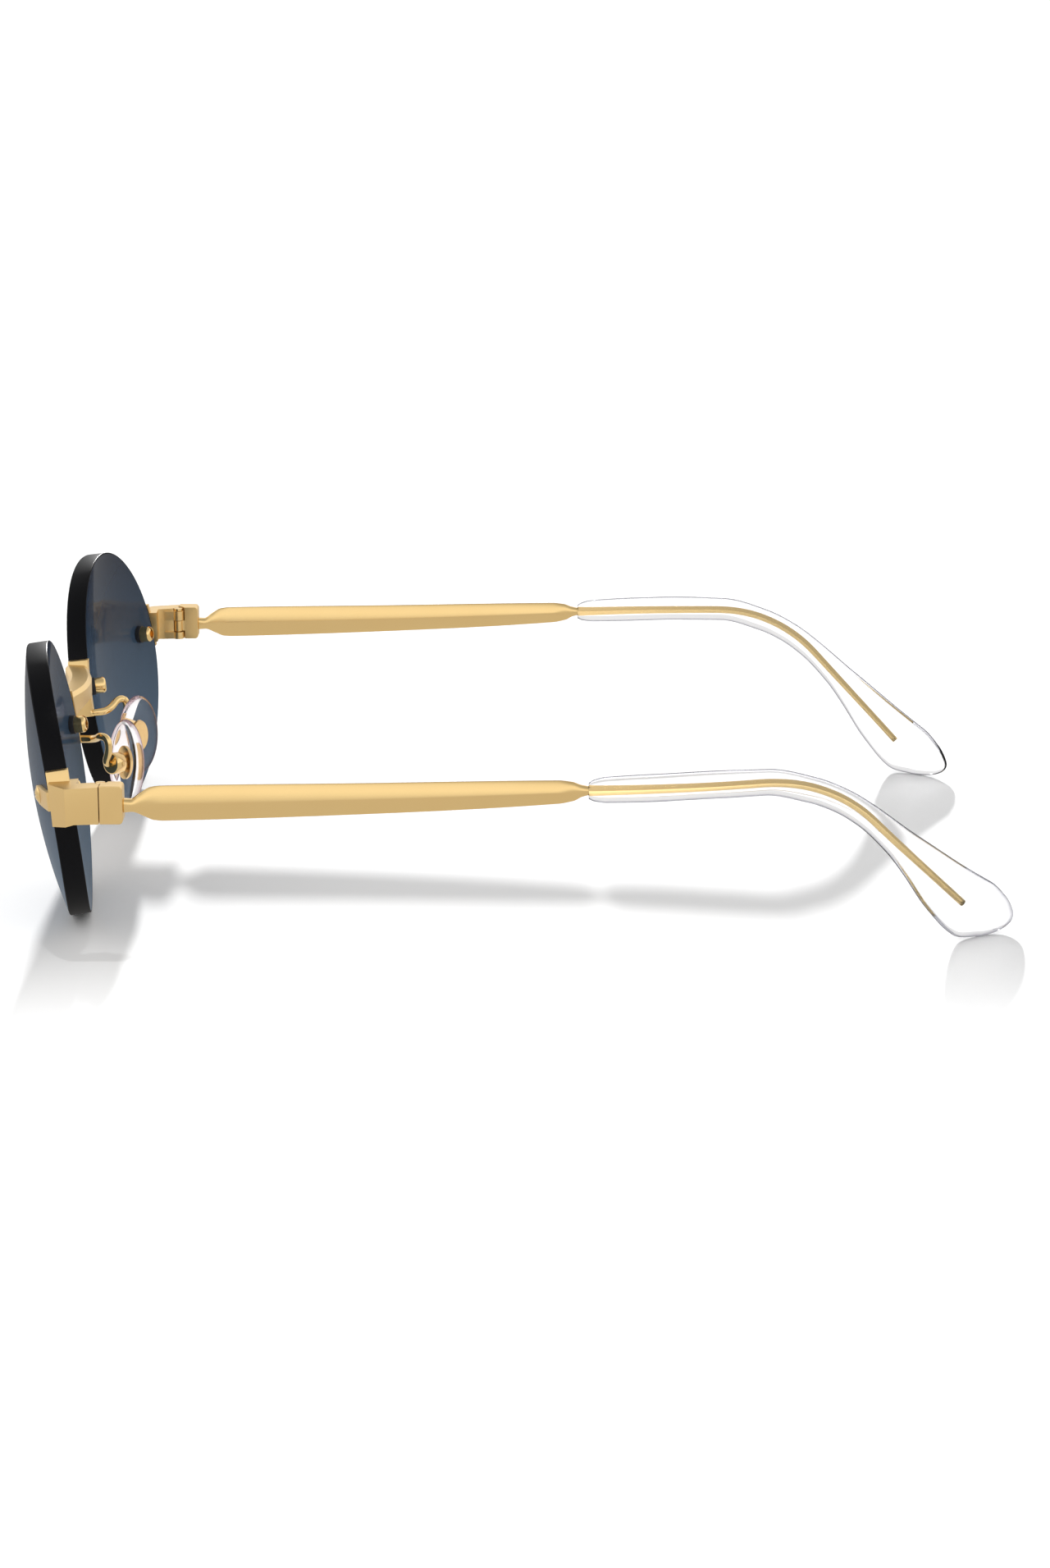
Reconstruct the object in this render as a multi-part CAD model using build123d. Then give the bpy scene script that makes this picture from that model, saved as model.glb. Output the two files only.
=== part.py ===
from build123d import *
from math import asin, cos, degrees, pi, radians, sin, sqrt, tan
import os

# Rimless oval glasses, in millimetres. The wearer looks along -Y, +X is the wearer's left and +Z is up.
# Open, they stand on the two lens feet and the two temple tips, which touch the ground plane Z = 0.
# Every piece is built for the left side, with Y measured from the lens feet. Mirroring gives the right side,
# and the last step moves all of them so that the origin lies at the middle of the footprint.

# Lenses: equal ovals cut from a bent shell of two concentric spheres.
LENS_WIDTH = 50.3
LENS_HEIGHT = 42.1
LENS_THICKNESS = 3.2
LENS_RADIUS = 88.0
LENS_CENTRE = Vector(35.6, -7.0, 20.48)
LENS_WRAP = 6.0
LENS_TILT = 7.8
EDGE_BEVEL = 0.25
SEAT = 0.02

# Mounting hardware: a screw, a soft washer and a nut hold each tab to its lens.
SCREW_RADIUS = 0.7
TEMPORAL_SCREW_AT = (20.4, 2.7)
NASAL_SCREW_AT = (-22.4, 3.3)
HEAD_RADIUS = 1.3
HEAD_HEIGHT = 0.5
HEAD_SLOT = (0.3, 0.2)
TAB_THICKNESS = 0.65
TAB_RADIUS = 1.45
WASHER_RADIUS = 1.5
WASHER_THICKNESS = 0.8
NUT_RADIUS = 1.35
NUT_THICKNESS = 1.8
NUT_SLOT = (0.45, 0.6)

# Endpieces and hinges.
OUTER_FACE_X = 65.2
INNER_FACE_X = 62.0
HINGE_AT = (INNER_FACE_X, 6.6)
HINGE_GAP = 0.06
BLOCK_BOTTOM = 21.7
BLOCK_TOP = 27.3
BLOCK_BACK_Y = 10.1
BARREL_RADIUS = 0.95
TONGUE_RADIUS = 0.72
TONGUE_LEVELS = (23.15, 25.05)
LEVEL_GAP = 0.12
HINGE_PIN_RADIUS = 0.4
HINGE_PIN_CLEARANCE = 0.04
HINGE_HEAD_RADIUS = 0.75

# Temples: a wire forged flat into a blade, then round again as the core of a clear tip.
TEMPLE_X = 63.5
BEND_START_Y = 85.0
BEND_RADIUS = 108.0
BLADE_THICKNESS = 1.5
BLADE_EDGE = 0.7
CORE_RADIUS = 0.7
CORE_STOPS = (77.4, 90.0, 99.0, 105.0, 109.5, 113.5, 117.5, 122.0, 135.4)

# Bridge, pad arms and nose pads.
GRIP_THICKNESS = 1.1
GRIP_BOTTOM = -0.9
ENDPIECE_GRIP_TOP = 6.9
BRIDGE_GRIP_TOP = 8.3
BRIDGE_DEPTH = 3.8
BRIDGE_BEVEL = 0.6
ARM_RADIUS = 0.6
ARM_CORNERS = (
    (9.1, -3.4, 20.7),
    (9.2, -1.2, 20.7),
    (10.8, 0.1, 21.2),
    (12.9, 0.9, 22.2),
    (13.7, 2.2, 21.9),
    (13.9, 2.4, 19.9),
)
PAD_CENTRE = Vector(9.3, 4.6, 16.9)
PAD_WIDTH = 7.4
PAD_HEIGHT = 13.9
PAD_THICKNESS = 2.6
PAD_FACING = 38.0
PAD_SPLAY = 12.0
PAD_LEAN = 8.0
BOX_RADIUS = 1.75
BOX_DEPTH = 2.0
BOX_WALL = 0.45
INSERT_HALF_WIDTH = 1.5
INSERT_HALF_HEIGHT = 2.7
PAD_PIN_RADIUS = 0.35
PAD_ROCK_GAP = 0.45

MIDDLE_Y = 67.8


def lens_place():
    """The lens frame: its Y axis runs through the front vertex towards the eye."""
    return Pos(*LENS_CENTRE) * Rot(LENS_TILT, 0, 0) * Rot(0, 0, LENS_WRAP)


def screw_place(at):
    """A frame on the front sphere at a point of the lens, with its Y axis square through the lens."""
    across, up = at
    rise = asin(up / LENS_RADIUS)
    swing = asin(across / (LENS_RADIUS * cos(rise)))
    turn = Rot(0, 0, degrees(swing)) * Rot(-degrees(rise), 0, 0)
    return lens_place() * Pos(0, LENS_RADIUS, 0) * turn * Pos(0, -LENS_RADIUS, 0)


def along_y(radius, start, end):
    """A cylinder on the Y axis from start to end."""
    return Pos(0, (start + end) / 2, 0) * Rot(90, 0, 0) * Cylinder(radius, end - start)


def upright(radius, at, bottom, top):
    """A vertical cylinder at a plan point."""
    return Pos(at[0], at[1], (bottom + top) / 2) * Cylinder(radius, top - bottom)


def block(low, high):
    """A box between two corners."""
    size = [b - a for a, b in zip(low, high)]
    return Pos(*[(a + b) / 2 for a, b in zip(low, high)]) * Box(*size)


def oval_prism(grow):
    """The lens outline grown outwards and extruded well past both faces, in the lens frame."""
    return extrude(Plane.XZ * Ellipse(LENS_WIDTH / 2 + grow, LENS_HEIGHT / 2 + grow), 15, both=True)


def sphere(grow):
    """The front sphere of the lens, grown outwards, in the lens frame."""
    return Pos(0, LENS_RADIUS, 0) * Sphere(LENS_RADIUS + grow)


def lens():
    """A bent oval shell, bevelled all round, with a drilled hole for each of its two screws."""
    shell = (oval_prism(0) & sphere(0)) - sphere(-LENS_THICKNESS)
    rims = shell.edges().filter_by(GeomType.LINE, reverse=True)
    shell = lens_place() * chamfer(rims, EDGE_BEVEL)
    for at in (TEMPORAL_SCREW_AT, NASAL_SCREW_AT):
        shell -= screw_place(at) * along_y(SCREW_RADIUS + SEAT, -2, LENS_THICKNESS + 2)
    return shell


def edge_depth(radius):
    """How far a concentric sphere falls back behind the front vertex at the widest point of the oval."""
    return LENS_RADIUS - sqrt(radius**2 - (LENS_WIDTH / 2) ** 2)


def rim_grip(side, low, high):
    """A curved plate that hugs the lens' edge between two heights, so that the fitting cannot turn."""
    ring = oval_prism(SEAT + GRIP_THICKNESS) - oval_prism(SEAT)
    front = edge_depth(LENS_RADIUS)
    back = edge_depth(LENS_RADIUS - LENS_THICKNESS)
    near, far = sorted((side * LENS_WIDTH * 0.4, side * LENS_WIDTH * 0.6))
    return lens_place() * (ring & block((near, front, low), (far, back, high)))


def front_tab(at):
    """A round-ended plate, bent to the lens' front face, from the lens' edge to a screw."""
    across, up = at
    side = 1 if across > 0 else -1
    rim = side * (LENS_WIDTH / 2 + GRIP_THICKNESS - 0.3)
    middle = Pos((across + rim) / 2, up, 0) * Rectangle(abs(rim - across), 2 * TAB_RADIUS)
    outline = middle + Pos(across, up, 0) * Circle(TAB_RADIUS)
    plate = extrude(Plane.XZ * outline, 15, both=True)
    plate = (plate & sphere(TAB_THICKNESS)) - sphere(SEAT)
    return lens_place() * plate - screw_place(at) * along_y(SCREW_RADIUS, -4, 2)


def lens_screw(at):
    """A domed screw whose head sits on the tab and whose shank passes lens, washer and nut."""
    end = LENS_THICKNESS + WASHER_THICKNESS + NUT_THICKNESS / 2
    shank = along_y(SCREW_RADIUS - SEAT, -TAB_THICKNESS, end)
    dome_radius = (HEAD_RADIUS**2 + HEAD_HEIGHT**2) / (2 * HEAD_HEIGHT)
    dome = Pos(0, dome_radius - HEAD_HEIGHT, 0) * Sphere(dome_radius)
    head = dome & along_y(HEAD_RADIUS, -HEAD_HEIGHT - 1, 0)
    slot_width, slot_depth = HEAD_SLOT
    slot = Pos(0, -HEAD_HEIGHT, 0) * Box(2 * HEAD_RADIUS + 1, 2 * slot_depth, slot_width)
    return screw_place(at) * (shank + Pos(0, -TAB_THICKNESS, 0) * (head - slot))


def washer(at):
    """A soft black ring between the lens' rear face and the nut."""
    start = LENS_THICKNESS + SEAT
    ring = along_y(WASHER_RADIUS, start - 0.3, start + WASHER_THICKNESS) - along_y(SCREW_RADIUS, 0, 9)
    eye_side = lens_place() * sphere(-start)
    return (screw_place(at) * ring) & eye_side


def nut(at):
    """A slotted cap nut with a rounded rim on the eye side of the washer."""
    start = LENS_THICKNESS + WASHER_THICKNESS + 2 * SEAT
    body = along_y(NUT_RADIUS, start, start + NUT_THICKNESS)
    body = fillet(body.edges().group_by(Axis.Y)[-1], 0.6)
    slot_width, slot_depth = NUT_SLOT
    slot = Pos(0, start + NUT_THICKNESS, 0) * Box(slot_width, 2 * slot_depth, 2 * NUT_RADIUS + 1)
    return screw_place(at) * (body - along_y(SCREW_RADIUS, 0, 9) - slot)


def side_prism(profile, low_x, high_x):
    """A side-view outline of (Y, Z) points extruded between two X planes."""
    outline = Plane.YZ.offset(low_x) * make_face(Polyline(*profile, close=True))
    return extrude(outline, high_x - low_x)


def endpiece():
    """The front half of the hinge: tab, edge grip, solid corner and two barrels in one forging."""
    y_end = HINGE_AT[1] - HINGE_GAP
    profile = [(-0.6, 20.6), (2.9, 21.6), (y_end, BLOCK_BOTTOM)]
    profile += [(y_end, BLOCK_TOP), (1.6, 27.0), (-1.2, 26.9)]
    corner = side_prism(profile, 59.0, OUTER_FACE_X)
    corner -= Pos(OUTER_FACE_X, -0.7, 24) * Rot(0, 0, 40) * Box(12, 3.6, 20)
    corner -= block((55, 3.0, 15), (INNER_FACE_X, 9, 35))
    corner -= lens_place() * oval_prism(SEAT)
    grip = rim_grip(1, GRIP_BOTTOM, ENDPIECE_GRIP_TOP) - grip_pocket()
    body = corner + grip + front_tab(TEMPORAL_SCREW_AT)
    low, high = TONGUE_LEVELS
    body -= upright(TONGUE_RADIUS + LEVEL_GAP, HINGE_AT, low - LEVEL_GAP, high + LEVEL_GAP)
    for bottom, top in ((BLOCK_BOTTOM + 0.1, low - LEVEL_GAP), (high + LEVEL_GAP, BLOCK_TOP - 0.5)):
        body += barrel(bottom, top)
    bore = upright(HINGE_PIN_RADIUS + SEAT, HINGE_AT, 15, 35)
    head_seat = upright(HINGE_HEAD_RADIUS + LEVEL_GAP, HINGE_AT, BLOCK_TOP - 0.5, 35)
    return body - bore - head_seat


def grip_pocket():
    """A shallow pocket milled in the grip's outer face, which leaves a frame round it."""
    middle = edge_depth(LENS_RADIUS - LENS_THICKNESS / 2)
    at = Pos(LENS_WIDTH / 2 + GRIP_THICKNESS, middle, ENDPIECE_GRIP_TOP - 1.3)
    return lens_place() * at * Box(1.1, 2.0, 1.2)


def barrel(bottom, top):
    """One hinge barrel with the leaf that ties it to the endpiece."""
    x, y = HINGE_AT
    leaf = block((x - 0.6, y - 2.4, bottom), (x + 0.3, y, top))
    return upright(BARREL_RADIUS, HINGE_AT, bottom, top) + leaf


def hinge_block():
    """The rear half of the hinge: a block with pockets round the barrels and a tongue between them."""
    x, y = HINGE_AT
    y_start = y + HINGE_GAP
    body = block((x, y_start, BLOCK_BOTTOM), (OUTER_FACE_X, BLOCK_BACK_Y, BLOCK_TOP + 0.15))
    rear = body.edges().filter_by(Axis.X).group_by(Axis.Y)[-1]
    body = fillet(rear, 0.6)
    low, high = TONGUE_LEVELS
    body -= upright(BARREL_RADIUS + 0.15, HINGE_AT, 15, 35)
    web = block((x, y, low), (x + TONGUE_RADIUS, y + 2.2, high))
    tongue = upright(TONGUE_RADIUS, HINGE_AT, low, high) + web
    return body + tongue - upright(HINGE_PIN_RADIUS + HINGE_PIN_CLEARANCE, HINGE_AT, 15, 35)


def hinge_screw():
    """The hinge pin: a slotted head on the upper barrel and a shank through all three barrels."""
    shank = upright(HINGE_PIN_RADIUS, HINGE_AT, BLOCK_BOTTOM, BLOCK_TOP - 0.3)
    head = upright(HINGE_HEAD_RADIUS, HINGE_AT, BLOCK_TOP - 0.5 + SEAT, BLOCK_TOP)
    slot = Pos(HINGE_AT[0], HINGE_AT[1], BLOCK_TOP) * Box(0.25, 3, 0.35)
    return shank + head - slot


def temple_x(y):
    """Plan curve of the temple: straight back, then an arc that turns in behind the ear."""
    past = max(0.0, y - BEND_START_Y)
    return TEMPLE_X - BEND_RADIUS + sqrt(BEND_RADIUS**2 - past**2)


def core_height(y):
    """Side curve of the core wire: a rising run, a tangent arc at the ear, then a straight 45 degree fall."""
    rise, knee_y, knee_z, radius = 0.03, 114.0, 27.6, 23.0
    turn = radians(45.5) + rise
    reach = radius * tan(turn / 2)
    if y < knee_y - reach:
        return knee_z - rise * (knee_y - y)
    if y > knee_y + reach * cos(radians(45.5)):
        return knee_z - (y - knee_y) * tan(radians(45.5))
    centre_y = knee_y - reach + rise * radius
    centre_z = knee_z - rise * reach - radius
    return centre_z + sqrt(radius**2 - (y - centre_y) ** 2)


def core_point(y):
    """A point on the middle of the core wire."""
    return Vector(temple_x(y), y, core_height(y))


def rounded_route(points, share=0.45):
    """Straight runs through a list of points, joined by arcs tangent to both runs at every corner."""
    pieces = []
    start = points[0]
    for before, corner, after in zip(points, points[1:], points[2:]):
        back = (before - corner).normalized()
        ahead = (after - corner).normalized()
        reach = share * min((before - corner).length, (after - corner).length)
        half_turn = (pi - radians(back.get_angle(ahead))) / 2
        radius = reach / tan(half_turn)
        inward = (back + ahead).normalized()
        middle = corner + inward * (radius / cos(half_turn) - radius)
        first = corner + back * reach
        last = corner + ahead * reach
        pieces += [Line(start, first), ThreePointArc(first, middle, last)]
        start = last
    pieces.append(Line(start, points[-1]))
    return Wire([piece.edge() for piece in pieces])


def tube(points, radius):
    """A round wire along a rounded route."""
    route = rounded_route(points)
    section = Plane(origin=points[0], z_dir=points[1] - points[0]) * Circle(radius)
    return sweep(section, path=route)


def ridged_section(x, y, z, height, thickness, edge):
    """A flat oval section with a soft ridge at mid height on both faces."""
    tall, wide, slim = height / 2, thickness / 2, edge / 2
    shoulder = (wide + slim) / 2 + 0.12 * (wide - slim)
    right = [(slim, tall), (shoulder, tall * 0.72), (wide, 0), (shoulder, -tall * 0.72), (slim, -tall)]
    points = right + [(-across, up) for across, up in reversed(right)]
    plane = Plane(origin=(x, y, z), x_dir=(1, 0, 0), z_dir=(0, -1, 0))
    return plane * make_face(Polyline(*points, close=True))


# Blade stations: Y, height of the middle, blade height, thickness and edge thickness.
BLADE_STATIONS = (
    (BLOCK_BACK_Y, 24.20, 2.1, 2.0, 1.1),
    (11.2, 24.22, 2.0, 1.9, 1.0),
    (12.8, 24.38, 3.6, 1.7, 0.9),
    (14.4, 24.50, 5.1, BLADE_THICKNESS, BLADE_EDGE),
    (16.0, 24.53, 5.3, BLADE_THICKNESS, BLADE_EDGE),
    (45.0, 25.24, 4.7, BLADE_THICKNESS, BLADE_EDGE),
    (74.0, 26.30, 3.55, BLADE_THICKNESS, BLADE_EDGE),
    (76.3, 26.42, 2.95, 1.5, 0.8),
    (77.4, 26.50, 1.9, 1.5, 0.9),
    (78.2, 26.53, 1.4, 1.4, 0.8),
)


def temple():
    """Neck, forged blade and core wire, all one piece of wire."""
    sections = [ridged_section(TEMPLE_X, *station) for station in BLADE_STATIONS]
    blade = loft(sections, ruled=True)
    return blade + tube([core_point(y) for y in CORE_STOPS], CORE_RADIUS)


# Tip stations: Y and Z of the middle, fall angle, half height and half thickness.
TIP_STATIONS = (
    (78.5, 26.50, 0, 1.15, 1.00),
    (79.3, 26.55, 0, 1.60, 1.20),
    (81.2, 26.65, -1, 1.95, 1.35),
    (88.4, 26.95, -2, 2.10, 1.40),
    (97.5, 27.30, 0, 2.10, 1.40),
    (104.7, 27.36, 8, 2.02, 1.40),
    (111.9, 25.72, 25, 2.00, 1.40),
    (116.2, 23.82, 38, 1.97, 1.40),
    (120.2, 21.10, 45, 2.00, 1.40),
    (124.8, 16.93, 45, 2.40, 1.45),
    (127.95, 13.70, 45, 3.11, 1.50),
    (132.35, 8.90, 45, 4.31, 1.50),
    (137.1, 4.66, 45, 5.10, 1.45),
    (140.3, 2.85, 48, 3.90, 1.15),
    (142.5, 1.75, 50, 2.20, 0.75),
    (143.3, 1.46, 50, 1.10, 0.40),
)


def temple_tip():
    """A clear oval sleeve that widens into a paddle, moulded round the core wire."""
    sections = []
    for y, z, fall, tall, wide in TIP_STATIONS:
        slope = (temple_x(y + 0.1) - temple_x(y)) / 0.1
        along = Vector(slope * cos(radians(fall)), cos(radians(fall)), -sin(radians(fall)))
        plane = Plane(origin=(temple_x(y), y, z), x_dir=Vector(along.Y, -along.X, 0), z_dir=along)
        sections.append(plane * Ellipse(wide, tall))
    return loft(sections) - tube([core_point(y) for y in CORE_STOPS], CORE_RADIUS + SEAT)


def bridge_section(x, y, z, height):
    """A square-cornered bar section with a bevel on each corner, square to X."""
    tall, deep, bevel = height / 2, BRIDGE_DEPTH / 2, BRIDGE_BEVEL
    half = [(-deep, tall - bevel), (-deep + bevel, tall), (deep - bevel, tall), (deep, tall - bevel)]
    points = half + [(across, -up) for across, up in reversed(half)]
    plane = Plane(origin=(x, y, z), x_dir=(0, 1, 0), z_dir=(1, 0, 0))
    return plane * make_face(Polyline(*points, close=True))


# Bridge stations on the left half: X, Y and Z of the middle, and height.
BRIDGE_STATIONS = (
    (0, -3.9, 26.60, 3.5),
    (4.2, -4.2, 26.55, 3.6),
    (8.0, -5.0, 26.30, 4.2),
    (11.2, -5.55, 25.85, 5.2),
)


def bridge():
    """An arched bar between the lenses, with an edge grip and a tab at each end."""
    right = [bridge_section(-x, y, z, height) for x, y, z, height in reversed(BRIDGE_STATIONS[1:])]
    left = [bridge_section(*station) for station in BRIDGE_STATIONS]
    bar = loft(right + left)
    end = rim_grip(-1, GRIP_BOTTOM, BRIDGE_GRIP_TOP) + front_tab(NASAL_SCREW_AT)
    lens_space = lens_place() * oval_prism(SEAT)
    bar = bar - lens_space - lens_space.mirror(Plane.YZ)
    return bar + end + end.mirror(Plane.YZ)


def pad_place():
    """The pad frame: its Y axis points away from the nose, its Z axis up the long side of the pad."""
    turn = Rot(PAD_LEAN, 0, 0) * Rot(0, 0, -90 - PAD_FACING) * Rot(PAD_SPLAY, 0, 0)
    return Pos(*PAD_CENTRE) * turn


def pad_point(out):
    """A point straight out from the middle of the pad."""
    return (pad_place() * Pos(0, out, 0)).position


def pad_arm():
    """A bent wire from the bridge's grip, out over the lens' rear face, to the back of the pad box."""
    back = PAD_THICKNESS / 2 + PAD_ROCK_GAP + BOX_DEPTH
    points = [Vector(*corner) for corner in ARM_CORNERS] + [pad_point(back + 1.3), pad_point(back + SEAT)]
    return tube(points, ARM_RADIUS) - rim_grip(-1, GRIP_BOTTOM, BRIDGE_GRIP_TOP)


def pad_box():
    """A small round cup, open towards the pad, with a cross hole for the pad's pin."""
    mouth = PAD_THICKNESS / 2 + PAD_ROCK_GAP
    cup = along_y(BOX_RADIUS, mouth, mouth + BOX_DEPTH)
    cup = fillet(cup.edges().group_by(Axis.Y)[-1], 0.4)
    hollow = along_y(BOX_RADIUS - BOX_WALL, mouth - 1, mouth + BOX_DEPTH - BOX_WALL)
    hole = Pos(0, pin_out(), 0) * Rot(0, 90, 0) * Cylinder(PAD_PIN_RADIUS + SEAT, 9)
    return pad_place() * (cup - hollow - hole)


def pin_out():
    """Distance of the pad's pin from the middle of the pad."""
    return PAD_THICKNESS / 2 + PAD_ROCK_GAP + 0.65


def pad_pin():
    """The cross pin that the pad rocks on."""
    pin = Pos(0, pin_out(), 0) * Rot(0, 90, 0) * Cylinder(PAD_PIN_RADIUS, 2 * BOX_RADIUS + 0.2)
    return pad_place() * pin


def core_blank(grow=0.0):
    """The insert inside the pad: an oval plate and a stem that reaches into the box."""
    outline = Plane.XZ * Ellipse(INSERT_HALF_WIDTH + grow, INSERT_HALF_HEIGHT + grow)
    plate = extrude(outline, 0.35 + grow, both=True)
    stem = block((-0.7 - grow, 0, -0.8 - grow), (0.7 + grow, pin_out() + grow, 0.8 + grow))
    return plate + stem


def pad_core():
    """A brass insert whose rounded stem turns on the pin."""
    out = pin_out()
    knuckle = Pos(0, out, 0) * Rot(0, 90, 0) * Cylinder(0.7, 1.4)
    bore = Pos(0, out, 0) * Rot(0, 90, 0) * Cylinder(PAD_PIN_RADIUS + 0.04, 9)
    return pad_place() * (core_blank() + knuckle - bore)


def nose_pad():
    """A clear oval cushion of hard silicone, rounded all over, moulded round its insert."""
    pad = extrude(Plane.XZ * Ellipse(PAD_WIDTH / 2, PAD_HEIGHT / 2), PAD_THICKNESS / 2, both=True)
    pad = fillet(pad.edges().filter_by(GeomType.LINE, reverse=True), 1.1)
    return pad_place() * (pad - core_blank(SEAT))


LEFT_PIECES = {
    "lens": lens,
    "endpiece": endpiece,
    "temporal_screw": lambda: lens_screw(TEMPORAL_SCREW_AT),
    "temporal_washer": lambda: washer(TEMPORAL_SCREW_AT),
    "temporal_nut": lambda: nut(TEMPORAL_SCREW_AT),
    "nasal_screw": lambda: lens_screw(NASAL_SCREW_AT),
    "nasal_washer": lambda: washer(NASAL_SCREW_AT),
    "nasal_nut": lambda: nut(NASAL_SCREW_AT),
    "hinge_screw": hinge_screw,
    "hinge_block": hinge_block,
    "temple": temple,
    "temple_tip": temple_tip,
    "pad_arm": pad_arm,
    "pad_box": pad_box,
    "pad_pin": pad_pin,
    "pad_core": pad_core,
    "nose_pad": nose_pad,
}


def write_piece(name, shape):
    """Move a finished piece to the shared origin and write it."""
    export_step(Pos(0, -MIDDLE_Y, 0) * shape, f"parts/{name}.step")


os.makedirs("parts", exist_ok=True)
write_piece("bridge", bridge())
for piece, make in LEFT_PIECES.items():
    solid = make()
    write_piece(piece + "_left", solid)
    write_piece(piece + "_right", solid.mirror(Plane.YZ))
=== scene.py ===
from math import cos, pi, radians, sin, tan

import bmesh
import bpy
import numpy as np
from mathutils import Matrix, Vector


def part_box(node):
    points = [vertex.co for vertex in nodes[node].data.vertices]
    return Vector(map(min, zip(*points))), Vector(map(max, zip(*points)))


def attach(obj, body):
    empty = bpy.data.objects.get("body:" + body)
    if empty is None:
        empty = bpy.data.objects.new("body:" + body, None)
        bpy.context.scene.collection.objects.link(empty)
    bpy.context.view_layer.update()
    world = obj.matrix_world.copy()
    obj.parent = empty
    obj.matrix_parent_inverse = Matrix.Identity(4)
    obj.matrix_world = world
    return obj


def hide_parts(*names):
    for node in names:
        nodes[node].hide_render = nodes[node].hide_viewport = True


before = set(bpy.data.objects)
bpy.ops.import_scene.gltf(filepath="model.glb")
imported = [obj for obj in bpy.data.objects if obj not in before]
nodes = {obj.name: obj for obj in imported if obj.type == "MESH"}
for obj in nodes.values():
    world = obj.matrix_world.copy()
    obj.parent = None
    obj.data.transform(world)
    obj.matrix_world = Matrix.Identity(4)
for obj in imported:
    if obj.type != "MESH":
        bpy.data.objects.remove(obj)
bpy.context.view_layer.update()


# Lenses
# Two oval lenses of hard plastic, cast as a bent shell and dyed blue-grey, deeper at the brow than at
# the cheek. Their edges are ground square and look black. Each is drilled twice, for the screws that
# carry the metal parts.

# Sizes are in millimetres and angles in degrees, up to the studio.
MM = 0.001
SIDES = {"left": 1, "right": -1}
LENS_HALF_WIDTH = 25.15
LENS_HALF_HEIGHT = 21.05
LENS_THICKNESS = 3.2
LENS_RADIUS = 88.0
LENS_WRAP = 6.0
LENS_TILT = 7.8
LENS_EDGE_ROUND = 0.22
BROW_TINT = (0.012, 0.019, 0.036)
CHEEK_TINT = (0.072, 0.118, 0.178)
EDGE_TINT = (0.003, 0.003, 0.004)
LENS_GLOSS = 0.16
EDGE_GLOSS = 0.03


class Value:
    """A shader socket that Python arithmetic acts on: each operator adds one Math node."""

    def __init__(self, wiring, socket):
        self.wiring = wiring
        self.socket = socket

    def math(self, operation, *terms):
        return self.wiring.node("ShaderNodeMath", {"operation": operation}, dict(enumerate(terms)))

    def __add__(self, other):
        return self.math("ADD", self, other)

    def __sub__(self, other):
        return self.math("SUBTRACT", self, other)

    def __rsub__(self, other):
        return self.math("SUBTRACT", other, self)

    def __mul__(self, other):
        return self.math("MULTIPLY", self, other)

    def __truediv__(self, other):
        return self.math("DIVIDE", self, other)

    def __pow__(self, other):
        return self.math("POWER", self, other)

    def capped(self):
        """The value, held to 1 at most."""
        return self.math("MINIMUM", self, 1.0)

    __radd__ = __add__
    __rmul__ = __mul__


def set_stops(ramp, stops):
    """Gives a colour ramp its stops, each a position and a colour."""
    while len(ramp.elements) < len(stops):
        ramp.elements.new(1.0)
    for element, (position, colour) in zip(ramp.elements, stops):
        element.position = position
        element.color = (*colour, 1.0)


class Wiring:
    """A node tree, to which nodes are added one at a time."""

    def __init__(self, tree):
        self.tree = tree

    def node(self, kind, settings, sockets, output=0):
        """Adds a node, sets it up, fills or links its sockets and gives back one output as a Value."""
        made = self.tree.nodes.new(kind)
        for key, value in settings.items():
            if key == "stops":
                set_stops(made.color_ramp, value)
            else:
                setattr(made, key, value)
        for key, value in sockets.items():
            self.fill(made.inputs[key], value)
        return Value(self, made.outputs[output])

    def fill(self, socket, value):
        """Links a Value to a socket, or sets a plain number or colour on it."""
        if isinstance(value, Value):
            self.tree.links.new(value.socket, socket)
        elif socket.type == "RGBA":
            socket.default_value = (*value, 1.0)
        else:
            socket.default_value = value


class Finish(Wiring):
    """One procedural material: constants go on the shader's own sockets, Values are linked to them."""

    def __init__(self, name, **constants):
        self.material = bpy.data.materials.new(name)
        self.material.use_nodes = True
        super().__init__(self.material.node_tree)
        self.place = self.node("ShaderNodeTexCoord", {}, {}, "Object")
        self.wear(**constants)

    def wear(self, **sockets):
        """Sets or links sockets of the surface shader and gives the material back."""
        for name, value in sockets.items():
            self.fill(self.tree.nodes["Principled BSDF"].inputs[name.replace("_", " ")], value)
        return self.material

    def noise(self, size, detail=2.0, roughness=0.5):
        """Cloudy noise from 0 to 1 whose blobs are about size millimetres across."""
        sockets = {"Vector": self.place, "Scale": 1 / (size * MM), "Detail": detail, "Roughness": roughness}
        return self.node("ShaderNodeTexNoise", {}, sockets)

    def blend(self, amount, first, second):
        """A colour between two, by an amount from 0 to 1. Sockets 6, 7 and output 2 are the colours."""
        return self.node("ShaderNodeMix", {"data_type": "RGBA"}, {0: amount, 6: first, 7: second}, 2)

    def bump(self, height, depth, strength=1.0):
        """Surface relief of a depth in millimetres."""
        sockets = {"Strength": strength, "Distance": depth * MM, "Height": height}
        return self.node("ShaderNodeBump", {}, sockets)

    def axis(self, letter):
        """One object coordinate, in metres."""
        return self.node("ShaderNodeSeparateXYZ", {}, {"Vector": self.place}, letter)


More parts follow.
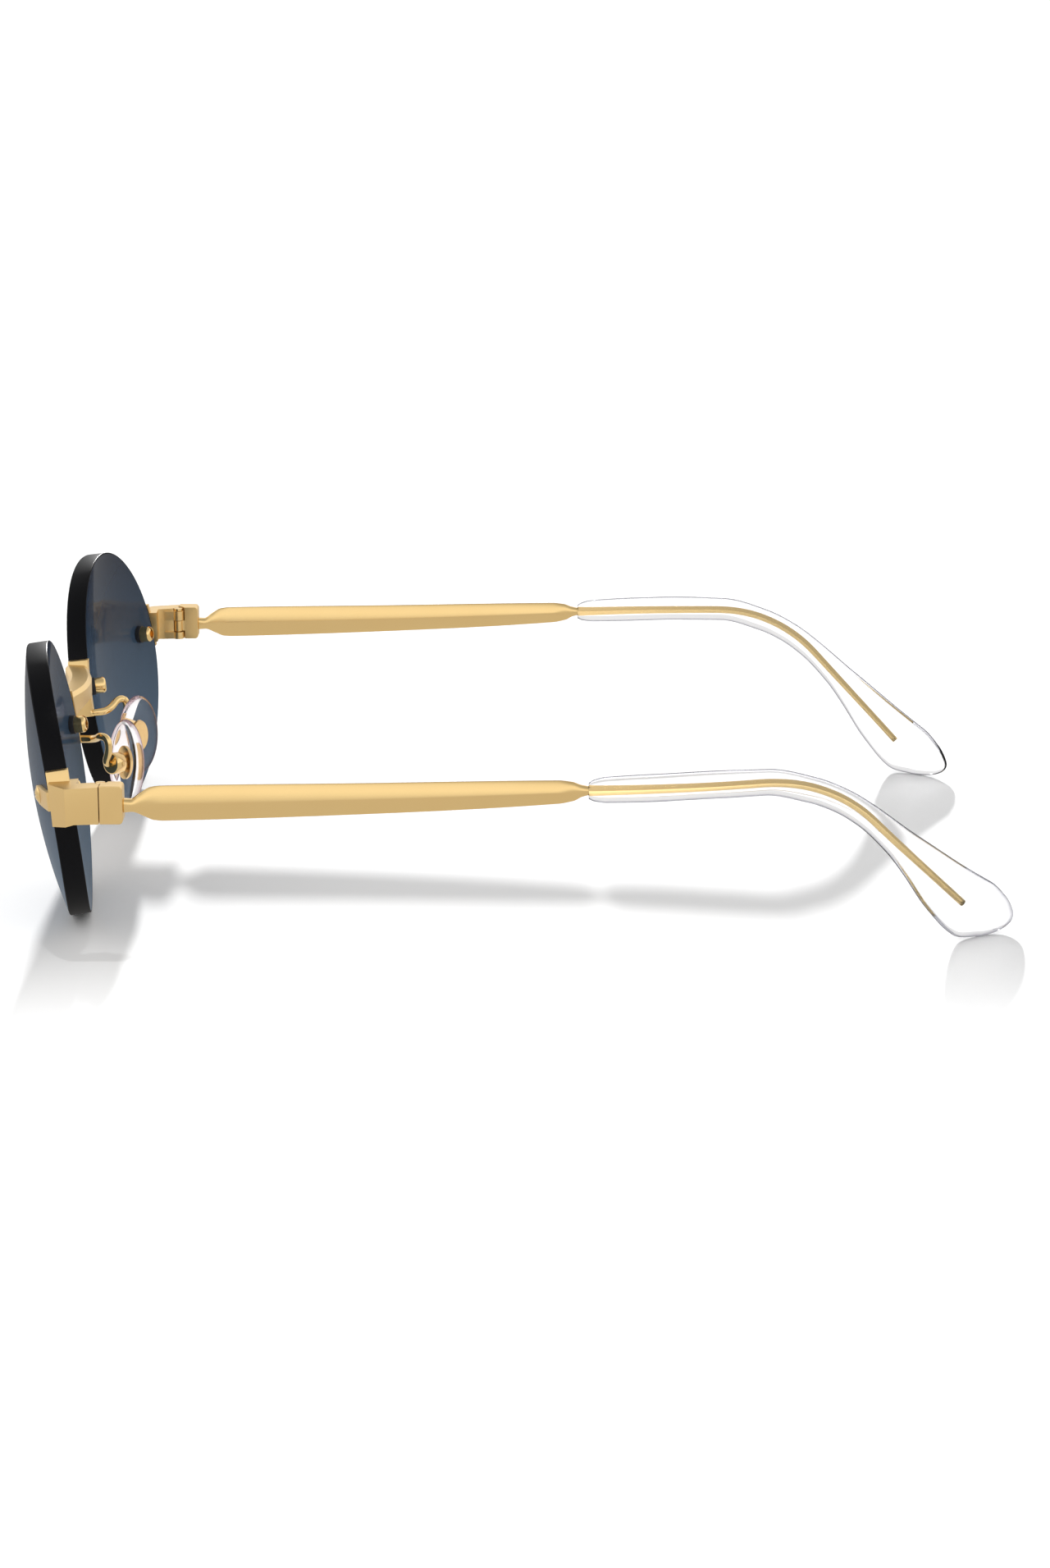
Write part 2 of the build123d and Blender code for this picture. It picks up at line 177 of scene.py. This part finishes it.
def skin(name, grid):
    """A closed mesh from points[row, column], with its columns round the shape.

    A face joins four neighbouring points, and a fan to its middle closes each end row. The signed volume,
    a sixth of the sum of a . (b x c) over the triangles, is negative where the faces point inwards, and
    then they are all turned round.
    """
    rows, around = grid.shape[:2]
    row, column = np.meshgrid(np.arange(rows - 1), np.arange(around), indexing="ij")
    here = row * around + column
    beside = row * around + (column + 1) % around
    quads = np.stack((here, beside, beside + around, here + around), axis=-1).reshape(-1, 4)
    ring = np.arange(around)
    ahead = (ring + 1) % around
    last = (rows - 1) * around
    hub = np.full(around, rows * around)
    start = np.stack((hub, ahead, ring), axis=-1)
    end = np.stack((hub + 1, last + ring, last + ahead), axis=-1)
    fans = np.concatenate((start, end))
    points = np.concatenate((grid.reshape(-1, 3), grid[0].mean(0)[None], grid[-1].mean(0)[None]))
    triangles = np.concatenate((quads[:, [0, 1, 2]], quads[:, [0, 2, 3]], fans))
    a, b, c = (points[triangles[:, k]] for k in range(3))
    if np.einsum("ij,ij->i", a, np.cross(b, c)).sum() < 0:
        quads = quads[:, ::-1]
        fans = fans[:, ::-1]
    mesh = bpy.data.meshes.new(name)
    mesh.from_pydata((points * MM).tolist(), [], quads.tolist() + fans.tolist())
    mesh.shade_smooth()
    return mesh


def fit(mesh, name, body, slot, material, *stands_for):
    """Makes a mesh into a piece: it gets its finish, rides on its body and stands for its CAD nodes."""
    piece = bpy.data.objects.new(name, mesh)
    bpy.context.scene.collection.objects.link(piece)
    mesh.materials.clear()
    mesh.materials.append(material)
    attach(piece, body)
    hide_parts(*stands_for)


def middle_of(node):
    """The middle of a CAD node's box."""
    low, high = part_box(node)
    return np.array((low + high) / 2) / MM


def place_like(points, node):
    """Moves points so that the middle of their box meets the middle of a CAD node's box."""
    flat = points.reshape(-1, 3)
    return points + middle_of(node) - (flat.min(0) + flat.max(0)) / 2


def turned(points, x=0.0, z=0.0):
    """Points turned about Z and then about X, in degrees."""
    turn = Matrix.Rotation(radians(x), 3, "X") @ Matrix.Rotation(radians(z), 3, "Z")
    return points @ np.array(turn).T


def mirrored(points, side):
    """Points as they are for the left side (1), and with X turned over for the right (-1)."""
    return points * np.array((side, 1, 1))


def lens_surface(around=256, rings=40, corner=6):
    """Front centre to rim, round the edge, and back to the rear centre.

    At a share s of the oval, x = s a cos t and z = s b sin t, and the depth is
    y = R - sqrt(r^2 - x^2 - z^2), with r = R in front and R less the thickness behind.
    Near the rim a quarter circle joins face and edge.
    """
    turn = np.linspace(0, pi / 2, corner)
    soft = LENS_EDGE_ROUND
    spread = np.sin(np.linspace(0.02, 1, rings) * pi / 2)
    inner = 1 - soft / LENS_HALF_HEIGHT
    share = np.concatenate((spread * inner, inner + (1 - inner) * np.sin(turn)))
    inset = np.concatenate((np.zeros(rings), soft * (1 - np.cos(turn))))
    t = np.linspace(0, 2 * pi, around, endpoint=False)
    x = share[:, None] * LENS_HALF_WIDTH * np.cos(t)
    z = share[:, None] * LENS_HALF_HEIGHT * np.sin(t)
    front = LENS_RADIUS - np.sqrt(LENS_RADIUS**2 - x**2 - z**2) + inset[:, None]
    behind = LENS_RADIUS - np.sqrt((LENS_RADIUS - LENS_THICKNESS) ** 2 - x**2 - z**2) - inset[:, None]
    faces = [np.stack((x, y, z), axis=-1) for y in (front, behind)]
    grid = np.concatenate((faces[0], faces[1][::-1]))
    edge = np.concatenate((np.zeros(rings), np.ones(corner)))
    return grid, np.concatenate((edge, edge[::-1]))


def lens_tint():
    """Dyed clear plastic: the dye thins evenly from brow to cheek, and the ground edge is black and dull."""
    finish = Finish(
        "blue_grey_lens",
        Transmission_Weight=0.15,
        Specular_IOR_Level=0.0,
        Coat_IOR=1.5,
        Coat_Roughness=0.16,
    )
    low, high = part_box("lens_left")
    rise = (finish.axis("Z") - low.z) / (high.z - low.z)
    level = rise + (finish.noise(9.0) - 0.5) * 0.04
    stops = ((0.12, CHEEK_TINT), (0.95, BROW_TINT))
    dye = finish.node("ShaderNodeValToRGB", {"stops": stops}, {"Fac": level})
    edge = finish.node("ShaderNodeAttribute", {"attribute_name": "edge"}, {}, "Fac")
    return finish.wear(
        Base_Color=finish.blend(edge, dye, EDGE_TINT),
        Roughness=edge * 0.30 + finish.noise(3.0, 3.0) * 0.015,
        Coat_Weight=LENS_GLOSS - edge * (LENS_GLOSS - EDGE_GLOSS),
        Normal=finish.bump(finish.noise(0.25) * edge, 0.01),
    )


tint = lens_tint()
for side, sign in SIDES.items():
    grid, edge = lens_surface()
    grid = turned(mirrored(grid, sign), LENS_TILT, LENS_WRAP * sign)
    mesh = skin("lens_" + side, place_like(grid, "lens_" + side))
    mark = mesh.attributes.new("edge", "FLOAT", "POINT")
    mark.data.foreach_set("value", np.append(np.repeat(edge, grid.shape[1]), (0.0, 0.0)))
    fit(mesh, "tinted_lens_" + side, "front", "tinted_lens", tint, "lens_" + side)


# Bridge and endpieces
# Forgings of nickel alloy, milled, drilled and plated in pale gold. The bridge joins the lenses over the
# nose. Each endpiece turns the corner at a lens' outer edge and carries the front half of the hinge.

GOLD = (0.88, 0.64, 0.30)
GOLD_DEEP = (0.86, 0.60, 0.26)
# Painted shade: along the wire inside the clear tips the gold darkens towards this brass.
CORE_SHADE_BRASS = (0.56, 0.42, 0.20)
CORE_SHADE_START_Y = 10.7
CORE_SHADE_RUN = 34.0
FORGING_ROUND = 0.18
SHARP_ANGLE = radians(32)
FLAT_ANGLE = radians(0.6)


def gold_plate(name, roughness, grain=0.25):
    """Polished pale gold: the tone drifts a little, and fine polishing marks dull it in places.

    From Y = e a painted shade darkens the wire inside the tips, by (y - e) / f, towards a darker brass.
    """
    finish = Finish(name, Metallic=1.0)
    drift = finish.noise(14.0, 3.0)
    # Painted shade on the core wire, growing with Y inside the clear tips.
    core_shade = (finish.axis("Y") - CORE_SHADE_START_Y * MM) / (CORE_SHADE_RUN * MM)
    marks = finish.noise(grain, 4.0, 0.65)
    return finish.wear(
        Base_Color=finish.blend(core_shade, finish.blend(drift, GOLD, GOLD_DEEP), CORE_SHADE_BRASS),
        Roughness=roughness + (marks - 0.5) * 0.10 + (drift - 0.5) * 0.06,
        Normal=finish.bump(marks, 0.004, 0.6),
    )


def softened(node, width):
    """A copy of a fitting's mesh with its triangles joined and each sharp edge rounded by a bevel."""
    mesh = nodes[node].data.copy()
    work = bmesh.new()
    work.from_mesh(mesh)
    bmesh.ops.remove_doubles(work, verts=work.verts, dist=2e-6)
    bmesh.ops.dissolve_limit(work, angle_limit=FLAT_ANGLE, verts=work.verts, edges=work.edges)
    corners = [edge for edge in work.edges if edge.is_manifold and edge.calc_face_angle() > SHARP_ANGLE]
    bmesh.ops.bevel(
        work, geom=corners, offset=width * MM, segments=3, profile=0.6, affect="EDGES", clamp_overlap=True
    )
    bmesh.ops.triangulate(work, faces=[face for face in work.faces if len(face.verts) > 4])
    work.to_mesh(mesh)
    work.free()
    mesh.shade_smooth()
    mesh.set_sharp_from_angle(angle=SHARP_ANGLE)
    return mesh


plate = gold_plate("pale_gold_plate", 0.38)
fit(softened("bridge", FORGING_ROUND), "plated_bridge", "front", "gold", plate, "bridge")
for side in SIDES:
    node = "endpiece_" + side
    fit(softened(node, FORGING_ROUND), "plated_" + node, "front", "gold", plate, node)


# Lens hardware
# Four sets hold metal to lens. A turned screw with a domed slotted head passes through tab and lens,
# and is drawn tight by a gold nut on a soft black washer behind.

WASHER_BLACK = (0.012, 0.012, 0.013)
WASHER_WORN = (0.03, 0.03, 0.032)
HARDWARE_ROUND = 0.08


def black_nylon():
    """Soft black plastic with a faint mould grain."""
    finish = Finish("black_washer_nylon", Specular_IOR_Level=0.4)
    grain = finish.noise(0.12, 3.0)
    return finish.wear(
        Base_Color=finish.blend(grain, WASHER_BLACK, WASHER_WORN),
        Roughness=0.38 + grain * 0.2,
        Normal=finish.bump(grain, 0.006),
    )


turned_gold = gold_plate("turned_gold", 0.16, 0.12)
nylon = black_nylon()
screw_set = {"screw": ("gold", turned_gold), "nut": ("gold", turned_gold), "washer": ("black_washer", nylon)}
for side in SIDES:
    for end in ("temporal", "nasal"):
        for part, (slot, material) in screw_set.items():
            node = f"{end}_{part}_{side}"
            fit(softened(node, HARDWARE_ROUND), "fitted_" + node, "front", slot, material, node)


# Pad arms and boxes
# A bent wire is brazed to each end of the bridge. The small cup on its other end holds the pad by a
# cross pin.

ARM_RADIUS = 0.6
ARM_UP = (0.35, -0.75, 0.4)
CUP_APPROACH = 2.3
CUP_BACK = 0.95
CUP_ROUND = 0.1
PIN_ROUND = 0.06

# The wire's bends, from the bridge outwards, on the left side.
ARM_ROUTE = (
    (9.1, -71.0, 20.7),
    (9.2, -69.0, 20.7),
    (10.8, -67.7, 21.2),
    (12.9, -66.9, 22.2),
    (13.7, -65.6, 21.9),
    (13.9, -65.4, 19.9),
)


def rounded_line(corners, steps=12):
    """A smooth line through a list of corners: each corner becomes a parabola between its runs' middles.

    With m and n the middles before and after corner c, the curve is (1-u)^2 m + 2u(1-u) c + u^2 n.
    """
    corners = np.array(corners, float)
    middles = (corners[:-1] + corners[1:]) / 2
    middles[0] = corners[0]
    middles[-1] = corners[-1]
    u = np.linspace(0, 1, steps)[None, :, None]
    before, bend, after = middles[:-1, None], corners[1:-1, None], middles[1:, None]
    arcs = (1 - u) ** 2 * before + 2 * u * (1 - u) * bend + u**2 * after
    return np.concatenate((arcs[0], arcs[1:, 1:].reshape(-1, 3)))


def swept(path, tall, wide, power, up, around):
    """A section carried along a path: p(t) = c + wide cos(t)^(2/n) side + tall sin(t)^(2/n) rise.

    The side is square to the path and to the up direction, and the rise is square to both.
    """
    along = np.gradient(path, axis=0)
    along /= np.linalg.norm(along, axis=1, keepdims=True)
    side = np.cross(along, np.array(up, float))
    side /= np.linalg.norm(side, axis=1, keepdims=True)
    rise = np.cross(side, along)
    t = np.linspace(0, 2 * pi, around, endpoint=False)
    rows = len(path)
    tall, wide, power = (np.broadcast_to(np.asarray(v, float), rows)[:, None] for v in (tall, wide, power))
    across = wide * np.sign(np.cos(t)) * np.abs(np.cos(t)) ** (2 / power)
    height = tall * np.sign(np.sin(t)) * np.abs(np.sin(t)) ** (2 / power)
    return path[:, None] + across[..., None] * side[:, None] + height[..., None] * rise[:, None]


wire_gold = gold_plate("drawn_wire_gold", 0.18, 0.18)
for side, sign in SIDES.items():
    cup_middle = middle_of("pad_box_" + side)
    outward = cup_middle - middle_of("nose_pad_" + side)
    outward /= np.linalg.norm(outward)
    corners = [np.array(point) * (sign, 1, 1) for point in ARM_ROUTE]
    corners += [cup_middle + outward * CUP_APPROACH, cup_middle + outward * CUP_BACK]
    arm = skin("pad_arm_" + side, swept(rounded_line(corners), ARM_RADIUS, ARM_RADIUS, 2, ARM_UP, 32))
    cup = softened("pad_box_" + side, CUP_ROUND)
    pin = softened("pad_pin_" + side, PIN_ROUND)
    fit(arm, "bent_pad_arm_" + side, "front", "gold", wire_gold, "pad_arm_" + side)
    fit(cup, "pad_cup_" + side, "front", "gold", turned_gold, "pad_box_" + side)
    fit(pin, "pad_cross_pin_" + side, "front", "hinge_steel", turned_gold, "pad_pin_" + side)


# Nose pads
# Clear ovals of hard silicone, moulded round a stamped brass insert. The insert's stem turns on the pin
# in the cup, so that the pad settles on the nose.

PAD_HALF_WIDTH = 3.7
PAD_HALF_HEIGHT = 6.95
PAD_HALF_THICKNESS = 1.3
PAD_FULLNESS = 0.55
PAD_FACING = 38.0
PAD_SPLAY = 12.0
PAD_LEAN = 8.0
INSERT_ROUND = 0.08
SILICONE_CLEAR = (0.99, 0.965, 0.97)
# Painted shade for the pads' grazing rims.
SILICONE_RIM_SHADE = (0.85, 0.80, 0.81)
BRASS = (0.88, 0.64, 0.30)
BRASS_DARK = (0.66, 0.42, 0.18)


def clear_plastic(name, tone, rim_shade_tone, roughness, ior):
    """Clear polished plastic: painted shade greys its grazing rims, and polishing leaves faint waves.

    The painted shade is the tint of a coat that bends no light. With f from 0 face on to 1 edge on, its
    weight is the lesser of 1 and (2 f)^6.
    """
    finish = Finish(name, Transmission_Weight=1.0, IOR=ior, Coat_IOR=1.01, Coat_Tint=rim_shade_tone)
    # Painted shade: a grey coat tint that grows where the surface is seen edge on.
    rim_shade_weight = (finish.node("ShaderNodeLayerWeight", {}, {"Blend": 0.5}, "Facing") * 2.0) ** 6.0
    wave = finish.noise(6.0)
    return finish.wear(
        Base_Color=finish.blend(wave, tone, tuple(0.985 * part for part in tone)),
        Roughness=roughness + finish.noise(0.6, 3.0) * 0.03,
        Coat_Weight=rim_shade_weight.capped(),
        Normal=finish.bump(wave, 0.03, 0.4),
    )


def brass_insert():
    """Stamped brass, satin, with darker patches."""
    finish = Finish("stamped_brass", Metallic=1.0)
    patch = finish.noise(1.2, 3.0)
    return finish.wear(
        Base_Color=finish.blend(patch, BRASS, BRASS_DARK),
        Roughness=0.14 + patch * 0.16,
        Normal=finish.bump(finish.noise(0.1), 0.004),
    )


def pad_surface(around=96, rings=28):
    """A rounded oval plate, with v the latitude and t the turn round the oval.

    x = a cos(v)^n cos t, z = b cos(v)^n sin t and y = c sin v. With n below 1 it has flatter faces.
    """
    v = np.linspace(-pi / 2, pi / 2, rings + 2)[1:-1]
    t = np.linspace(0, 2 * pi, around, endpoint=False)
    share = np.cos(v)[:, None] ** PAD_FULLNESS
    x = PAD_HALF_WIDTH * share * np.cos(t)
    z = PAD_HALF_HEIGHT * share * np.sin(t)
    y = PAD_HALF_THICKNESS * np.sin(v)[:, None] + 0 * t
    return np.stack((x, y, z), axis=-1)


def pad_turn():
    """The left pad's turn: splayed about its own X, faced to the nose about Z, then leaned about X."""
    lean = Matrix.Rotation(radians(PAD_LEAN), 3, "X")
    face = Matrix.Rotation(radians(-90 - PAD_FACING), 3, "Z")
    splay = Matrix.Rotation(radians(PAD_SPLAY), 3, "X")
    return np.array(lean @ face @ splay).T


silicone = clear_plastic("clear_silicone", SILICONE_CLEAR, SILICONE_RIM_SHADE, 0.03, 1.33)
brass = brass_insert()
for side, sign in SIDES.items():
    body = "pad_" + side
    pad = skin("nose_pad_" + side, place_like(mirrored(pad_surface() @ pad_turn(), sign), "nose_pad_" + side))
    insert = softened("pad_core_" + side, INSERT_ROUND)
    fit(pad, "moulded_nose_pad_" + side, body, "clear_pad", silicone, "nose_pad_" + side)
    fit(insert, "pad_insert_" + side, body, "pad_brass", brass, "pad_core_" + side)


# Hinges
# The rear half of each hinge is a small block with a tongue between the endpiece's two barrels.
# One slotted screw passes through all three and is the pivot.

for side in SIDES:
    block = softened("hinge_block_" + side, FORGING_ROUND)
    pivot = softened("hinge_screw_" + side, PIN_ROUND)
    fit(block, "plated_hinge_block_" + side, "temple_" + side, "gold", plate, "hinge_block_" + side)
    fit(pivot, "hinge_pivot_screw_" + side, "front", "hinge_steel", turned_gold, "hinge_screw_" + side)


# Temples
# One length of wire each, forged flat into a blade with a soft ridge and necked at both ends. Beyond the
# blade it is left round, as the core of the tip. It is plated like the front.

TEMPLE_X = 63.5
BEND_START_Y = 17.2
BEND_RADIUS = 108.0
KNEE = (46.2, 27.6)
KNEE_RADIUS = 23.0
KNEE_FALL = 45.5
RISE = 0.03
FRONT_NECK_Y = -48.0
REAR_NECK_Y = 5.0
CORE_RADIUS = 0.52
CORE_TAPER = 18.0
CORE_END_Y = 67.6

# Each row: Y, height of the middle, half height, half thickness and how square the section is.
BLADE = np.array((
    (-57.7, 24.20, 1.05, 1.00, 3.0),
    (-56.6, 24.22, 1.00, 0.95, 2.4),
    (-55.0, 24.38, 1.80, 0.85, 2.0),
    (-53.4, 24.50, 2.55, 0.76, 1.45),
    (-51.8, 24.53, 2.68, 0.74, 1.28),
    (-22.8, 25.24, 2.38, 0.74, 1.28),
    (6.2, 26.30, 1.79, 0.74, 1.28),
    (8.5, 26.42, 1.45, 0.73, 1.8),
    (9.7, 26.50, 0.92, 0.71, 2.0),
    (10.6, 26.53, 0.70, 0.70, 2.0),
))


def temple_x(y):
    """Plan curve: straight back, then x = X - R + sqrt(R^2 - d^2), an arc that turns in behind the ear."""
    past = np.maximum(0, y - BEND_START_Y)
    return TEMPLE_X - BEND_RADIUS + np.sqrt(BEND_RADIUS**2 - past**2)


def knee_height(y):
    """Side curve: a gently rising line, a tangent arc at the ear, and a straight fall at the knee angle."""
    fall = radians(KNEE_FALL)
    reach = KNEE_RADIUS * tan((fall + RISE) / 2)
    centre_y = KNEE[0] - reach + RISE * KNEE_RADIUS
    centre_z = KNEE[1] - RISE * reach - KNEE_RADIUS
    arc = centre_z + np.sqrt(np.maximum(0.01, KNEE_RADIUS**2 - (y - centre_y) ** 2))
    line = KNEE[1] - RISE * (KNEE[0] - y)
    drop = KNEE[1] - (y - KNEE[0]) * tan(fall)
    return np.where(y < KNEE[0] - reach, line, np.where(y > KNEE[0] + reach * cos(fall), drop, arc))


def eased(y, table, column):
    """A value along Y that passes smoothly through a table's stations, with no overshoot.

    Between stations it is a cubic with end slopes that are the harmonic mean of the neighbouring slopes,
    or zero where those differ in sign.
    """
    at = table[:, 0]
    value = table[:, column]
    run = np.diff(at)
    slope = np.diff(value) / run
    product = slope[:-1] * slope[1:]
    safe = np.where(product > 0, slope[:-1] + slope[1:], 1)
    inner = np.where(product > 0, 2 * product / safe, 0)
    tangent = np.concatenate((slope[:1], inner, slope[-1:]))
    k = np.clip(np.searchsorted(at, y, side="right") - 1, 0, len(run) - 1)
    u = np.clip((y - at[k]) / run[k], 0, 1)
    level = value[k] * (1 + 2 * u) * (1 - u) ** 2 + value[k + 1] * u**2 * (3 - 2 * u)
    return level + run[k] * u * (1 - u) * (tangent[k] * (1 - u) - tangent[k + 1] * u)


def temple_surface():
    """Blade and core wire as one section carried along the temple's line, with more rows at the necks.

    Beyond the blade's end at Y = e the wire thins from radius s to r, as r + (s - r) exp((e - y) / taper).
    """
    start, end = BLADE[0, 0], BLADE[-1, 0]
    y = np.concatenate((
        np.linspace(start, FRONT_NECK_Y, 60),
        np.linspace(FRONT_NECK_Y + 1, REAR_NECK_Y, 40),
        np.linspace(REAR_NECK_Y + 0.5, end, 40),
    ))
    wire_y = np.linspace(end + 0.6, CORE_END_Y, 90)
    radius = CORE_RADIUS + (BLADE[-1, 2] - CORE_RADIUS) * np.exp((end - wire_y) / CORE_TAPER)
    middle = np.concatenate((eased(y, BLADE, 1), knee_height(wire_y)))
    tall = np.concatenate((eased(y, BLADE, 2), radius))
    wide = np.concatenate((eased(y, BLADE, 3), radius))
    power = np.concatenate((eased(y, BLADE, 4), np.full(len(wire_y), 2.0)))
    y = np.concatenate((y, wire_y))
    path = np.stack((temple_x(y), y, middle), axis=-1)
    return swept(path, tall, wide, power, (0, 0, 1), 64)


temple_gold = gold_plate("forged_blade_gold", 0.22)
for side, sign in SIDES.items():
    node = "temple_" + side
    temple = skin(node, mirrored(temple_surface(), sign))
    fit(temple, "forged_" + node, node, "gold", temple_gold, node)


# Temple tips
# Clear acetate sleeves pushed over the core wires while hot, bent down behind the ear and tumbled smooth.
# They widen into a flat paddle, and the gold wire shows through them.

ACETATE_CLEAR = (0.985, 0.98, 0.985)
# Painted shade for the tips' grazing rims.
ACETATE_RIM_SHADE = (0.79, 0.79, 0.81)

# Each row: Y, height of the middle, fall angle, half height and half thickness.
TIP = np.array((
    (10.75, 26.50, 0, 1.20, 1.00),
    (11.5, 26.55, 0, 1.60, 1.20),
    (13.4, 26.65, -1, 1.95, 1.35),
    (20.6, 26.95, -2, 2.10, 1.40),
    (29.7, 27.30, 0, 2.10, 1.40),
    (36.9, 27.36, 8, 2.02, 1.40),
    (44.1, 25.72, 25, 2.00, 1.40),
    (48.4, 23.82, 38, 1.97, 1.40),
    (52.4, 21.10, 45, 2.00, 1.40),
    (57.0, 16.93, 45, 2.40, 1.45),
    (60.15, 13.70, 45, 3.11, 1.50),
    (64.55, 8.90, 45, 4.31, 1.50),
    (69.3, 4.66, 45, 5.05, 1.45),
    (72.5, 2.85, 48, 3.90, 1.15),
    (74.7, 1.80, 49, 2.20, 0.75),
    (75.45, 1.50, 50, 1.20, 0.42),
    (75.7, 1.40, 50, 0.50, 0.20),
))


def tip_surface():
    """Ovals carried along the tip: p(t) = c + wide cos t side + tall sin t rise.

    Each is tipped down by the fall angle and turned to follow the plan curve, and the rows stand closer
    at the mouth and round the end of the paddle.
    """
    mouth, throat, paddle, end = TIP[[0, 2, 12, -1], 0]
    y = np.concatenate((
        np.linspace(mouth, throat, 24),
        np.linspace(throat + 0.4, paddle - 0.3, 90),
        np.linspace(paddle, end, 48),
    ))
    middle, fall, tall, wide = (eased(y, TIP, column) for column in range(1, 5))
    fall = np.radians(fall)
    slope = np.gradient(temple_x(y), y)
    along = np.stack((slope * np.cos(fall), np.cos(fall), -np.sin(fall)), axis=-1)
    along /= np.linalg.norm(along, axis=1, keepdims=True)
    side = np.stack((along[:, 1], -along[:, 0], 0 * y), axis=-1)
    side /= np.linalg.norm(side, axis=1, keepdims=True)
    rise = np.cross(side, along)
    t = np.linspace(0, 2 * pi, 64, endpoint=False)
    centre = np.stack((temple_x(y), y, middle), axis=-1)
    across = (wide[:, None] * np.cos(t))[..., None] * side[:, None]
    height = (tall[:, None] * np.sin(t))[..., None] * rise[:, None]
    return centre[:, None] + across + height


acetate = clear_plastic("clear_acetate", ACETATE_CLEAR, ACETATE_RIM_SHADE, 0.015, 1.30)
for side, sign in SIDES.items():
    node = "temple_tip_" + side
    tip = skin(node, mirrored(tip_surface(), sign))
    fit(tip, "clear_" + node, "temple_" + side, "clear_tip", acetate, node)


# Studio
# A pale floor, a white surround and a low key light from the wearer's right. Polished surfaces mirror a
# tent of light that is brightest a little above the horizon. Places and sizes here are in metres.

FLOOR_HALF = 6.0
FLOOR_WHITE = (0.80, 0.80, 0.80)
FLOOR_TOOTH = (0.81, 0.81, 0.81)
FLOOR_IN_METAL = (0.72, 0.70, 0.67)
ROOM_LIGHT = 0.84
# How bright the tent looks in polished surfaces, from the horizon (0) to straight up (1).
TENT = ((0.0, 0.72), (0.10, 0.90), (0.26, 1.22), (0.55, 1.12), (0.80, 0.62), (1.0, 0.5))
BLACK = (0.0, 0.0, 0.0)
WHITE = (1.0, 1.0, 1.0)
KEY_ELEVATION = radians(16.1)
KEY_PLACE = (-cos(KEY_ELEVATION), -0.035, sin(KEY_ELEVATION))
KEY_LIGHT = 7.6
KEY_SPREAD = radians(2.0)
WASH_X = 0.39
WASH_HEIGHT = 3.0
WASH_LIGHT = 420.0
WASH_ANGLE = radians(12.0)
CAMERA_PLACE = (0.585, 0.00165, 0.16395)
CAMERA_PITCH = radians(-14.66)
CAMERA_YAW = radians(0.03)
CAMERA_ROLL = radians(0.09)
CAMERA_LENS = 84.24
CAMERA_FILM = 36.0


def mirror_rays(wiring):
    """1 for what a shiny surface mirrors, 0 for all else. A refracted ray counts as glossy too."""
    glossy = wiring.node("ShaderNodeLightPath", {}, {}, "Is Glossy Ray")
    refracted = wiring.node("ShaderNodeLightPath", {}, {}, "Is Transmission Ray")
    return glossy * (1 - refracted)


def pale_floor():
    """Matt white studio board, barely toothed, that mirrors show as a painted reflection: a warm grey glow.
    """
    finish = Finish("studio_board", Roughness=1.0, Specular_IOR_Level=0.0, Emission_Strength=1.0)
    white = finish.blend(finish.noise(2.0, 3.0), FLOOR_WHITE, FLOOR_TOOTH)
    mirror = mirror_rays(finish)
    return finish.wear(
        Base_Color=finish.blend(mirror, white, BLACK),
        # Painted reflection: for mirror rays the board glows an even warm grey instead of being lit.
        Emission_Color=finish.blend(mirror, BLACK, FLOOR_IN_METAL),
    )


def light_surround():
    """An even white world, which polished surfaces see as bands of light by height."""
    world = bpy.data.worlds.new("white_surround")
    world.use_nodes = True
    world.node_tree.nodes.remove(world.node_tree.nodes["Background"])
    sky = Wiring(world.node_tree)
    direction = sky.node("ShaderNodeTexCoord", {}, {}, "Generated")
    height = sky.node("ShaderNodeSeparateXYZ", {}, {"Vector": direction}, "Z")
    stops = [(place, (light, light, light)) for place, light in TENT]
    bands = sky.node("ShaderNodeValToRGB", {"stops": stops}, {"Fac": height})
    tent = sky.node("ShaderNodeBackground", {}, {"Color": bands})
    room = sky.node("ShaderNodeBackground", {}, {"Color": WHITE, "Strength": ROOM_LIGHT})
    seen = sky.node("ShaderNodeMixShader", {}, {0: mirror_rays(sky), 1: room, 2: tent})
    sky.fill(world.node_tree.nodes["World Output"].inputs["Surface"], seen)
    return world


def lamp(name, kind, energy, place, target, **settings):
    """A lamp at a place, turned to its target, and left out of mirrors."""
    data = bpy.data.lights.new(name, kind)
    data.energy = energy
    for key, value in settings.items():
        setattr(data, key, value)
    light = bpy.data.objects.new(name, data)
    bpy.context.scene.collection.objects.link(light)
    light.location = place
    light.visible_glossy = False
    light.rotation_euler = (Vector(target) - Vector(place)).to_track_quat("-Z", "Y").to_euler()


board = bpy.data.meshes.new("studio_floor")
corners = [(x * FLOOR_HALF, y * FLOOR_HALF, 0) for x, y in ((-1, -1), (1, -1), (1, 1), (-1, 1))]
board.from_pydata(corners, [], [(0, 1, 2, 3)])
board.materials.append(pale_floor())
floor = bpy.data.objects.new("studio_floor", board)
bpy.context.scene.collection.objects.link(floor)

bpy.context.scene.world = light_surround()
lamp("key", "SUN", KEY_LIGHT, KEY_PLACE, (0, 0, 0), angle=KEY_SPREAD)
lamp("floor_wash", "SPOT", WASH_LIGHT, (WASH_X, 0, WASH_HEIGHT), (WASH_X, 0, 0), spot_size=WASH_ANGLE,
     spot_blend=0.18, shadow_soft_size=0.05)

camera_data = bpy.data.cameras.new("camera")
camera_data.lens = CAMERA_LENS
camera_data.sensor_fit = "VERTICAL"
camera_data.sensor_height = CAMERA_FILM
camera_data.clip_start = 0.01
camera = bpy.data.objects.new("camera", camera_data)
bpy.context.scene.collection.objects.link(camera)
aim = Matrix.Rotation(pi / 2 + CAMERA_YAW, 4, "Z") @ Matrix.Rotation(pi / 2 + CAMERA_PITCH, 4, "X")
camera.matrix_world = Matrix.Translation(CAMERA_PLACE) @ aim @ Matrix.Rotation(CAMERA_ROLL, 4, "Z")
bpy.context.scene.camera = camera
bpy.context.scene.view_settings.view_transform = "Standard"
